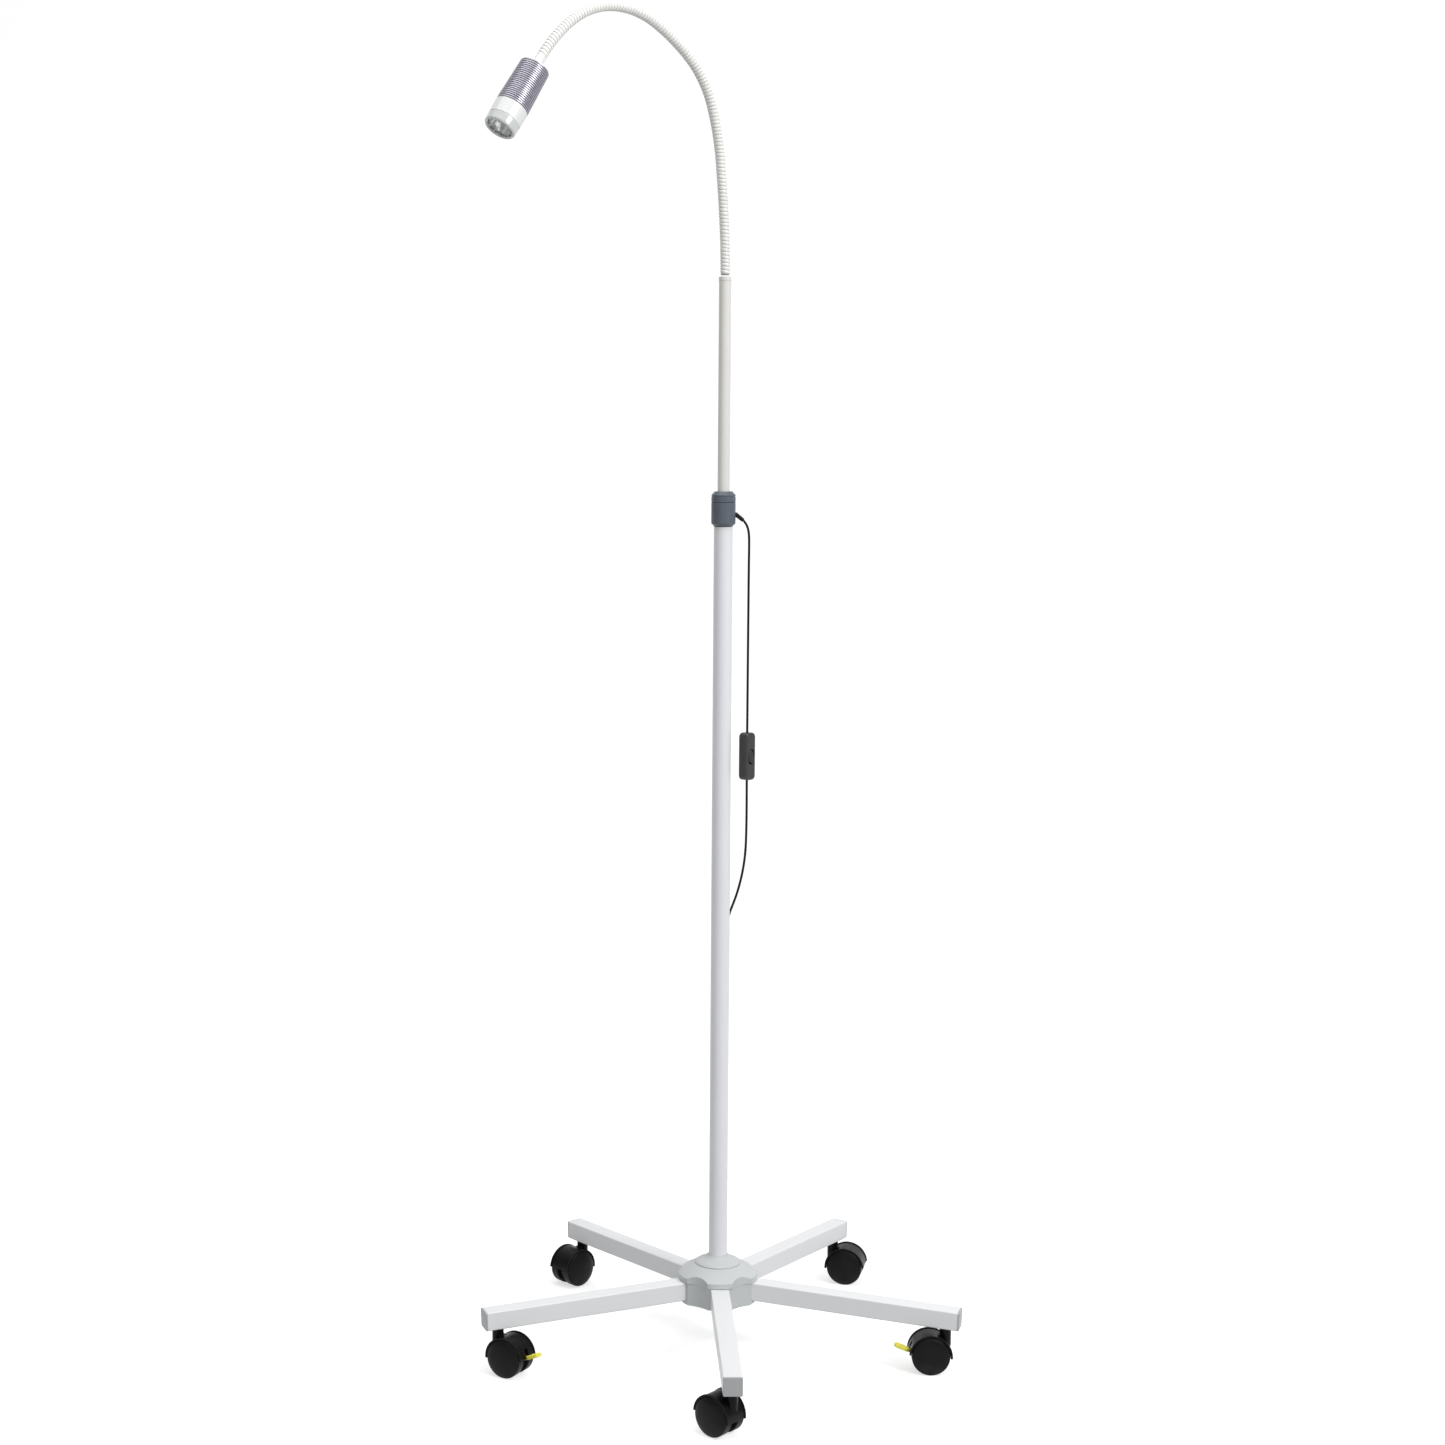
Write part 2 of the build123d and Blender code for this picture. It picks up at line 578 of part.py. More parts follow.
def make_head():
    frame = head_frame()
    socket = NECK_OUTER + NECK_BALL_GAP
    sink_start = FERRULE_LENGTH
    barrel_start = sink_start + SINK_LENGTH
    ring_start = barrel_start + BARREL_LENGTH
    ring_end = ring_start + RING_LENGTH

    with BuildPart() as rear_cap:
        with BuildSketch(frame):
            with BuildLine():
                Polyline(
                    (0, 0),
                    (0, NECK_OUTER),
                    (FERRULE_LENGTH - 2.6, NECK_OUTER),
                    (FERRULE_LENGTH - 2.6, SINK_REAR - 2.6),
                    (FERRULE_LENGTH - 1.4, SINK_REAR - 0.9),
                    (FERRULE_LENGTH, SINK_REAR - 0.9),
                    (FERRULE_LENGTH, SINK_REAR - 5),
                    (FERRULE_LENGTH + 3, SINK_REAR - 5),
                    (FERRULE_LENGTH + 3, 0),
                    close=True,
                )
            make_face()
        revolve(axis=Axis(frame.origin, frame.x_dir))
        with BuildSketch(frame):
            Circle(NECK_OUTER)
            Rectangle(40, 40, align=(Align.CENTER, Align.MAX), mode=Mode.SUBTRACT)
        revolve(axis=Axis(frame.origin, frame.x_dir))
    save(rear_cap, "head_rear_cap")

    pitch = SINK_LENGTH / FINS
    groove = pitch * 0.5
    profile = [(sink_start, SINK_REAR - 5)]
    for fin in range(FINS):
        at = sink_start + fin * pitch
        outer = SINK_REAR + (SINK_FRONT - SINK_REAR) * fin / (FINS - 1)
        profile.append((at, outer))
        profile.append((at + pitch - groove, outer))
        profile.append((at + pitch - groove, outer - FIN_DEPTH))
        profile.append((at + pitch, outer - FIN_DEPTH))
    profile.append((barrel_start, SINK_REAR - 5))
    turned(frame, profile, "heat_sink")

    turned(
        frame,
        [
            (barrel_start, SINK_FRONT),
            (ring_start - 0.8, BARREL_FRONT),
            (ring_start, BARREL_FRONT - 0.6),
            (ring_start, LENS_RADIUS + 0.9),
            (barrel_start, LENS_RADIUS + 0.9),
        ],
        "front_barrel",
    )
    turned(
        frame,
        [
            (ring_start, BARREL_FRONT - 0.6),
            (ring_start + 0.8, BARREL_FRONT),
            (ring_end - 2.2, RING_FRONT),
            (ring_end - 0.6, RING_FRONT - 0.9),
            (ring_end, RING_FRONT - 2.0),
            (ring_end - 1.2, LENS_RADIUS - 0.6),
            (ring_end - 2.0, LENS_RADIUS - 0.6),
            (ring_end - 2.0, LENS_RADIUS + 0.9),
            (ring_start, LENS_RADIUS + 0.9),
        ],
        "front_ring",
    )
    turned(
        frame,
        [
            (ring_end - 5.0, 0),
            (ring_end - 5.0, LENS_RADIUS),
            (ring_end - 2.0, LENS_RADIUS),
            (ring_end - 2.0, 0),
        ],
        "lens",
    )
    cup_depth = 19.0
    cup_front = ring_end - 5.0
    with BuildPart() as reflector:
        with BuildSketch(frame):
            with BuildLine():
                wall = Spline(
                    (cup_front - cup_depth, 5.0),
                    (cup_front - cup_depth * 0.6, 10.8),
                    (cup_front, LENS_RADIUS - 1.2),
                )
                Line(wall @ 1, (cup_front, LENS_RADIUS))
                back = Spline(
                    (cup_front, LENS_RADIUS),
                    (cup_front - cup_depth * 0.6, 12.4),
                    (cup_front - cup_depth, 6.6),
                )
                Line(back @ 1, wall @ 0)
            make_face()
        revolve(axis=Axis(frame.origin, frame.x_dir))
    save(reflector, "reflector")
    board = cup_front - cup_depth
    turned(
        frame,
        [
            (board - 2.0, 0),
            (board - 2.0, SINK_REAR - 5.2),
            (board, SINK_REAR - 5.2),
            (board, 4.2),
            (board + 1.4, 3.4),
            (board + 1.4, 0),
        ],
        "led_board",
    )


# ---------------------------------------------------------------- casters
def caster_frame(name):
    heading = CASTER_HEADING[name]
    along = Vector(cos(radians(heading)), sin(radians(heading)), 0)
    return plane_at(polar(STEM_RADIUS, LEGS[name]), along, Vector(0, 0, 1))


def make_stems():
    with BuildPart() as stems:
        for azimuth in LEGS.values():
            with BuildSketch(Plane(origin=polar(STEM_RADIUS, azimuth, 48.0))):
                Circle(STEM_PIN)
            extrude(amount=80.0 - 48.0)
    save(stems, "caster_stems")


def hood_mouth(up):
    """Outline of a hood's open underside; up is the sketch's own sense of height."""
    return (0, 0), (-40, -4 * up), (-40, -40 * up), (40, -40 * up), (40, 3 * up)


def make_housing(name):
    frame = caster_frame(name)
    side = local_plane(frame, (TRAIL, 0, WHEEL_RADIUS), (1, 0, 0), (0, -1, 0))
    with BuildPart() as housing:
        with BuildSketch(side):
            Circle(WEB_RADIUS)
            with BuildLine():
                Polyline((0, 0), (-TRAIL - 5, 12), (-TRAIL - 5, 28), (-4, 26), close=True)
            make_face()
        extrude(amount=WEB_HALF, both=True)
        with BuildSketch(side):
            Circle(HOOD_OUTER)
            Circle(HOOD_INNER, mode=Mode.SUBTRACT)
            Polygon(*hood_mouth(1), align=None, mode=Mode.SUBTRACT)
        extrude(amount=HOOD_HALF, both=True)
        for direction in (1, -1):
            ring = (TRAIL, direction * (HOOD_HALF - HOOD_RIM_WIDTH), WHEEL_RADIUS)
            with BuildSketch(local_plane(frame, ring, (1, 0, 0), (0, direction, 0))):
                Circle(HOOD_OUTER + HOOD_RIM)
                Circle(HOOD_INNER, mode=Mode.SUBTRACT)
                Polygon(*hood_mouth(-direction), align=None, mode=Mode.SUBTRACT)
            extrude(amount=HOOD_RIM_WIDTH)
        with BuildSketch(side):
            Circle(HOOD_INNER)
            Circle(WEB_RADIUS - 1, mode=Mode.SUBTRACT)
            Polygon(*hood_mouth(1), align=None, mode=Mode.SUBTRACT)
        extrude(amount=WEB_HALF, both=True)
        with BuildSketch(local_plane(frame, (0, 0, 36.0), (1, 0, 0), (0, 0, 1))):
            Circle(NECK_RADIUS)
        extrude(amount=NECK_TOP - 36.0)
        for direction in (1, -1):
            hub_side = (TRAIL, direction * WEB_HALF, WHEEL_RADIUS)
            face = local_plane(frame, hub_side, (1, 0, 0), (0, direction, 0))
            with BuildSketch(face):
                Circle(HOOD_INNER)
            extrude(amount=40, mode=Mode.SUBTRACT)
        with BuildSketch(side):
            Circle(AXLE_RADIUS + FIT)
        extrude(amount=40, both=True, mode=Mode.SUBTRACT)
        with BuildSketch(local_plane(frame, (0, 0, 47.0), (1, 0, 0), (0, 0, 1))):
            Circle(STEM_PIN + FIT)
        extrude(amount=30, mode=Mode.SUBTRACT)
        if name in BRAKED:
            slot = local_plane(frame, (LEVER_PIVOT[0] - 6, 0, 0), (1, 0, 0), (0, -1, 0))
            with BuildSketch(slot):
                with BuildLine():
                    Polyline((0, 14), (30, 8), (30, 48), (0, 34), close=True)
                make_face()
            extrude(amount=LEVER_ARM + GAP, both=True, mode=Mode.SUBTRACT)
            pivot = (LEVER_PIVOT[0], 0, LEVER_PIVOT[1])
            with BuildSketch(local_plane(frame, pivot, (1, 0, 0), (0, -1, 0))):
                Circle(LEVER_PIN)
            extrude(amount=WEB_HALF, both=True)
    save(housing, f"caster_housing_{name}")


def make_wheels(name):
    frame = caster_frame(name)
    rest = frame.from_local_coords(Vector(TRAIL, 0, WHEEL_RADIUS))
    across = frame.from_local_coords(Vector(TRAIL, 1, WHEEL_RADIUS)) - rest
    with BuildPart() as wheels:
        for direction in (1, -1):
            section = local_plane(frame, (TRAIL, 0, WHEEL_RADIUS), (0, direction, 0), (1, 0, 0))
            with BuildSketch(section):
                with BuildLine():
                    Line((WHEEL_INNER, AXLE_RADIUS), (WHEEL_INNER, 7.5))
                    Line((WHEEL_INNER, 7.5), (WHEEL_INNER + 8, 7.5))
                    Line((WHEEL_INNER + 8, 7.5), (WHEEL_INNER + 8, 20.5))
                    Line((WHEEL_INNER + 8, 20.5), (WHEEL_INNER, 20.5))
                    Line((WHEEL_INNER, 20.5), (WHEEL_INNER, WHEEL_RADIUS - 1.2))
                    Line((WHEEL_INNER, WHEEL_RADIUS - 1.2), (WHEEL_INNER + 1.2, WHEEL_RADIUS))
                    Line((WHEEL_INNER + 1.2, WHEEL_RADIUS), (WHEEL_TREAD - 2.0, WHEEL_RADIUS))
                    shoulder = ThreePointArc(
                        (WHEEL_TREAD - 2.0, WHEEL_RADIUS),
                        (WHEEL_TREAD - 0.4, WHEEL_RADIUS - 0.7),
                        (WHEEL_TREAD + 0.4, WHEEL_RADIUS - 2.2),
                    )
                    Spline(
                        shoulder @ 1,
                        (WHEEL_DOME - 1.2, WHEEL_RADIUS * 0.6),
                        (WHEEL_DOME, 0),
                        tangents=[(0.5, -1), (0, -1)],
                    )
                    Line((WHEEL_DOME, 0), (WHEEL_TREAD - 2.0, 0))
                    Line((WHEEL_TREAD - 2.0, 0), (WHEEL_TREAD - 2.0, AXLE_RADIUS))
                    Line((WHEEL_TREAD - 2.0, AXLE_RADIUS), (WHEEL_INNER, AXLE_RADIUS))
                make_face()
            revolve(axis=Axis(rest, across * direction))
    save(wheels, f"caster_wheels_{name}")
    with BuildPart() as axle:
        with BuildSketch(local_plane(frame, (TRAIL, 0, WHEEL_RADIUS), (1, 0, 0), (0, -1, 0))):
            Circle(AXLE_RADIUS)
        extrude(amount=WHEEL_TREAD - 2.0, both=True)
    save(axle, f"caster_axle_{name}")


def make_brake_lever(name):
    frame = caster_frame(name)
    along = (cos(radians(LEVER_TILT)), 0, sin(radians(LEVER_TILT)))
    across = (0, -1, 0)
    pivot = (LEVER_PIVOT[0], 0, LEVER_PIVOT[1])
    side = local_plane(frame, pivot, along, across)
    flat = local_plane(frame, pivot, along, (-sin(radians(LEVER_TILT)), 0, cos(radians(LEVER_TILT))))
    with BuildPart() as lever:
        with BuildSketch(side):
            with Locations((7, 0)):
                Rectangle(14, 4.2)
            Circle(3.2)
            Circle(LEVER_PIN + FIT, mode=Mode.SUBTRACT)
        extrude(amount=LEVER_ARM, both=True)
        with BuildSketch(flat.offset(-1.7)):
            with Locations(((12.4 + LEVER_REACH) / 2, 0)):
                RectangleRounded(LEVER_REACH - 12.4, 13.0, 4.0)
        extrude(amount=3.4)
        for rib in range(4):
            with BuildSketch(flat.offset(1.7)):
                with Locations((LEVER_REACH - 3.5 - 3.2 * rib, 0)):
                    Rectangle(1.2, 9.0)
            extrude(amount=1.1)
    save(lever, f"brake_lever_{name}")


# ---------------------------------------------------------------- lead and switch
def make_strain_relief():
    rib = 2.6
    with BuildPart() as relief:
        with BuildSketch(relief_plane()):
            Circle(2.4)
        extrude(amount=RELIEF_LENGTH)
        for index in range(5):
            radius = 3.15 - 0.1 * index
            with BuildSketch(relief_plane().offset(RELIEF_SEAT + rib * index)):
                Circle(radius)
            extrude(amount=1.7)
    save(relief, "strain_relief")


def relief_tip():
    return relief_plane().from_local_coords(Vector(0, 0, RELIEF_LENGTH))


def make_cord_upper():
    tip = relief_tip()
    top = SWITCH_BOTTOM + SWITCH_LENGTH
    points = [(tip.X, 0, tip.Z), *CORD_UPPER, (SWITCH_X, 0, top)]
    cord_tube(points, "cord_upper")


def make_cord_coil():
    with BuildPart() as coil:
        with BuildSketch(Plane(origin=(COIL_CENTRE[0], COIL_CENTRE[1], COIL_FLOOR))):
            Circle(COIL_OUTER + CORD_RADIUS + 0.1)
            Circle(COIL_INNER - CORD_RADIUS - 0.1, mode=Mode.SUBTRACT)
        extrude(amount=COIL_PITCH * COIL_LAYERS + 0.4)
    save(coil, "cord_coil")


def switch_plane():
    """Through the middle of the switch, its X across the rocker face, its normal out of it."""
    middle = Vector(SWITCH_X, 0, SWITCH_BOTTOM + SWITCH_LENGTH / 2)
    normal = Vector(sin(radians(SWITCH_TURN)), -cos(radians(SWITCH_TURN)), 0)
    across = Vector(cos(radians(SWITCH_TURN)), sin(radians(SWITCH_TURN)), 0)
    return plane_at(middle, across, normal)


def make_switch():
    middle = switch_plane()
    depth_axis = Axis(middle.origin, middle.z_dir)
    half = SWITCH_DEPTH / 2
    hollow = (SWITCH_WIDTH - 2 * SWITCH_WALL, SWITCH_LENGTH - 2 * SWITCH_CORNER)
    with BuildPart() as base:
        with BuildSketch(middle):
            RectangleRounded(SWITCH_WIDTH, SWITCH_LENGTH, SWITCH_CORNER)
        extrude(amount=-half)
        fillet(base.faces().sort_by(depth_axis)[0].edges(), SWITCH_EDGE)
        with BuildSketch(middle):
            Rectangle(*hollow)
        extrude(amount=SWITCH_WALL - half, mode=Mode.SUBTRACT)
    save(base, "switch_base")
    with BuildPart() as cover:
        with BuildSketch(middle):
            RectangleRounded(SWITCH_WIDTH, SWITCH_LENGTH, SWITCH_CORNER)
        extrude(amount=half)
        fillet(cover.faces().sort_by(depth_axis)[-1].edges(), SWITCH_EDGE)
        with BuildSketch(middle):
            Rectangle(*hollow)
        extrude(amount=half - SWITCH_WALL, mode=Mode.SUBTRACT)
        with BuildSketch(middle):
            RectangleRounded(ROCKER_WIDTH + 1.6, ROCKER_LENGTH + 2.8, ROCKER_CORNER + 0.8)
        extrude(amount=half, mode=Mode.SUBTRACT)
    save(cover, "switch_cover")
    pivot = middle.from_local_coords(Vector(0, 0, half - ROCKER_PIVOT))
    tilt = radians(ROCKER_TILT)
    lean = plane_at(pivot, middle.x_dir, middle.z_dir * cos(tilt) + Vector(0, 0, 1) * sin(tilt))
    with BuildPart() as rocker:
        with BuildSketch(lean.offset(-1.0)):
            RectangleRounded(ROCKER_WIDTH, ROCKER_LENGTH, ROCKER_CORNER)
        extrude(amount=ROCKER_THICKNESS)
        fillet(rocker.faces().sort_by(Axis(lean.origin, lean.z_dir))[-1].edges(), 0.8)
    save(rocker, "switch_rocker")


def make_plug():
    width, length, height = PLUG_BODY
    exit_x = COIL_CENTRE[0] + COIL_OUTER
    exit_z = COIL_FLOOR + COIL_PITCH * (COIL_LAYERS - 0.5) + 0.1
    front = COIL_CENTRE[1] + COIL_OUTER + PLUG_STAND_OFF
    middle_x = exit_x + PLUG_SHIFT
    middle_z = height / 2 + GAP
    with BuildPart() as plug:
        with BuildSketch(plane_at((middle_x, front, middle_z), (1, 0, 0), (0, 1, 0))):
            RectangleRounded(width, height, 5.0)
        extrude(amount=length)
        fillet(plug.faces().sort_by(Axis.Y)[0].edges(), 2.4)
        with BuildSketch(plane_at((exit_x, front + 1, exit_z), (1, 0, 0), (0, -1, 0))):
            Circle(3.8)
        extrude(amount=PLUG_RELIEF + 1, taper=3)
    save(plug, "plug_body")
    with BuildPart() as pins:
        with BuildSketch(plane_at((middle_x, front + length, middle_z), (1, 0, 0), (0, 1, 0))):
            with GridLocations(PLUG_PIN_SPACING, 0, 2, 1):
                Circle(PLUG_PIN_RADIUS)
        extrude(amount=PLUG_PIN_LENGTH)
        tips = pins.faces().filter_by(GeomType.PLANE).sort_by(Axis.Y)[-2:]
        fillet(tips.edges(), 1.2)
    save(pins, "plug_pins")


def make_clips():
    """Small saddles that hold the lead against the back of the pole."""
    with BuildPart() as clips:
        for run in CLIP_RUNS:
            held = (Vector(*CORD_LOWER[run]) + Vector(*CORD_LOWER[run + 1])) * 0.5
            with BuildSketch(Plane.XY.offset(held.Z - CLIP_HEIGHT / 2)):
                with Locations((held.X, held.Y - 1.2)):
                    RectangleRounded(8.4, 9.6, 2.0)
                Circle(POLE_RADIUS, mode=Mode.SUBTRACT)
                with Locations((held.X, held.Y)):
                    Circle(CORD_RADIUS + 0.25, mode=Mode.SUBTRACT)
                with Locations((held.X, held.Y + 3)):
                    Rectangle(2.4, 5, mode=Mode.SUBTRACT)
            extrude(amount=CLIP_HEIGHT)
    save(clips, "cord_clips")


# ---------------------------------------------------------------- all pieces
os.makedirs("parts", exist_ok=True)

make_hub_body()
make_hub_cover()
make_rosette()
make_screws()
make_legs()
make_end_caps()
make_stems()
make_pole()
make_coupler()
make_clamp_ring()
make_upper_tube()
make_neck()
make_head()
for caster in LEGS:
    make_housing(caster)
    make_wheels(caster)
for caster in BRAKED:
    make_brake_lever(caster)
make_strain_relief()
make_cord_upper()
cord_tube(CORD_LOWER, "cord_lower")
make_cord_coil()
make_switch()
make_plug()
make_clips()
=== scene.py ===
import json
import math
import bpy
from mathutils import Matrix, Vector


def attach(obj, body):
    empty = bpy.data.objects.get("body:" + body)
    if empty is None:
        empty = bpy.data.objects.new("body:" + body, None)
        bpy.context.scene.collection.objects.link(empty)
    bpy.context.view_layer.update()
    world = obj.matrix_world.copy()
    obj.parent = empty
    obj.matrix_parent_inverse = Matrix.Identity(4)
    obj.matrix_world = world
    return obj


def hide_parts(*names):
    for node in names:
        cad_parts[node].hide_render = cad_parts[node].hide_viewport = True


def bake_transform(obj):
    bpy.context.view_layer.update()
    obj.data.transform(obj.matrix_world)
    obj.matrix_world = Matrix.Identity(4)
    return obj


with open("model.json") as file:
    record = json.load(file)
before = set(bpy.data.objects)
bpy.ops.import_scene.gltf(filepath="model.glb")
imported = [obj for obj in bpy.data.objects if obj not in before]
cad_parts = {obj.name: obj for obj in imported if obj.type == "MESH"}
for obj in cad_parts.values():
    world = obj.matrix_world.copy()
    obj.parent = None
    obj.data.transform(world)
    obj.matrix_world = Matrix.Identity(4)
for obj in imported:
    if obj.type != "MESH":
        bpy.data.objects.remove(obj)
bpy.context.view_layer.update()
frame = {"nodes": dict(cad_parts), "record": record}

NODES = frame["nodes"]
MM = 0.001


# ---------------------------------------------------------------- camera
camera_data = bpy.data.cameras.new("camera")
camera = bpy.data.objects.new("camera", camera_data)
bpy.context.collection.objects.link(camera)
camera.location = (-0.19618, -3.26541, 1.27074)
camera.rotation_euler = (math.radians(90 - 7.179), 0, 0)
camera_data.lens = 61.69
camera_data.sensor_width = 36
camera_data.shift_x = 0.1026
camera_data.clip_end = 60
bpy.context.scene.camera = camera
bpy.context.scene.view_settings.view_transform = "Standard"


# ---------------------------------------------------------------- lead
# Route points are control points in the part's own millimetres.
CORD_DIAMETER = 3.2
RELIEF_TIP = (26.18, 0.0, 1127.52)
SWITCH_TOP = (33.8, 0.0, 846.1)
UPPER_ROUTE = [
    (29.5, 0.0, 1123.7),
    (32.3, 0.0, 1117.9),
    (34.0, 0.0, 1109.0),
    (34.3, 0.1, 1094.0),
    (34.0, 0.0, 1068.0),
]
SWITCH_INSIDE = [  # behind the rocker, clear of its travel
    (33.8, 0.0, 840.0),
    (32.2, 1.55, 831.0),
    (32.2, 1.55, 798.0),
    (33.8, 0.0, 789.0),
]
LOWER_ROUTE = [
    (33.8, 0.0, 782.5),
    (34.1, 0.4, 728.0),
    (33.2, 3.2, 676.0),
    (24.6, 10.6, 630.0),
    (10.6, 17.2, 592.0),
    (2.2, 18.6, 552.0),
    (1.0, 18.8, 494.0),
    (1.3, 18.5, 434.0),
    (1.0, 18.8, 374.0),
    (1.3, 18.5, 314.0),
    (1.1, 18.7, 258.0),
    (1.3, 18.9, 206.0),
    (2.2, 26.5, 168.0),
    (3.4, 46.0, 138.0),
    (4.4, 62.5, 110.0),
    (5.0, 68.0, 74.0),
    (5.6, 71.0, 38.0),
    (6.4, 84.0, 10.0),
    (8.6, 110.0, 2.2),
    (15.0, 134.0, 2.0),
]
COIL_CENTRE = (-4.0, 157.0)
COIL_OUTER = 22.6
COIL_PITCH = 3.3
TURNS_PER_LAYER = 3
COIL_LAYERS = 4
POINTS_PER_TURN = 16
PLUG_LEAD_IN = ((18.6, 165.0), (18.6, 174.0), (18.6, 186.0))  # X and Y of the run into the plug


def coil_points():
    """Twelve turns in four flat layers, wound inwards and outwards by turns."""
    grow = 1 / math.cos(math.pi / POINTS_PER_TURN)
    per_layer = TURNS_PER_LAYER * POINTS_PER_TURN
    climb = POINTS_PER_TURN // 4
    points = []
    for step in range(COIL_LAYERS * per_layer + 1):
        layer, inside = divmod(step, per_layer)
        turned = inside / POINTS_PER_TURN
        if layer % 2:
            turned = TURNS_PER_LAYER - turned
        radius = (COIL_OUTER - COIL_PITCH * turned) * grow
        level = float(layer)
        if layer and inside < climb:
            level -= 0.5 - 0.5 * inside / climb
        if layer < COIL_LAYERS - 1 and per_layer - inside < climb:
            level += 0.5 - 0.5 * (per_layer - inside) / climb
        if layer == COIL_LAYERS:
            level = COIL_LAYERS - 1.0
            radius = COIL_OUTER * grow
        angle = 2 * math.pi * step / POINTS_PER_TURN
        x = COIL_CENTRE[0] + radius * math.cos(angle)
        y = COIL_CENTRE[1] + radius * math.sin(angle)
        points.append((x, y, 2.0 + COIL_PITCH * level))
    return points


def curve_piece(name, points, radius):
    """A round tube on one NURBS spline, with points in millimetres as its control points."""
    data = bpy.data.curves.new(name, "CURVE")
    data.dimensions = "3D"
    spline = data.splines.new("NURBS")
    spline.points.add(len(points) - 1)
    for target, point in zip(spline.points, points):
        target.co = (*(c * MM for c in point), 1)
        target.radius = radius * MM
    spline.order_u = 3
    spline.use_endpoint_u = True
    data.resolution_u = 8
    data.bevel_depth = 1.0  # times each point's radius
    data.bevel_resolution = 5
    data.use_fill_caps = True
    piece = bpy.data.objects.new(name, data)
    bpy.context.collection.objects.link(piece)
    return piece


coil = coil_points()
plug_level = coil[-1][2]
cord_route = [RELIEF_TIP, *UPPER_ROUTE, SWITCH_TOP, *SWITCH_INSIDE, *LOWER_ROUTE, *coil]
cord_route += [(x, y, plug_level) for x, y in PLUG_LEAD_IN]
cord = curve_piece("supply_lead", cord_route, CORD_DIAMETER / 2)
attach(cord, "base")
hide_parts("cord_upper", "cord_lower", "cord_coil")


# ---------------------------------------------------------------- materials
# the mesh attribute that carries the painted shade for the sleeve's grooves
GROOVE_SHADE_LAYER = "groove"
NOISE_ROUGHNESS = 0.55
BEVEL_SAMPLES = 4
GLOSS_SCALE = 35.0


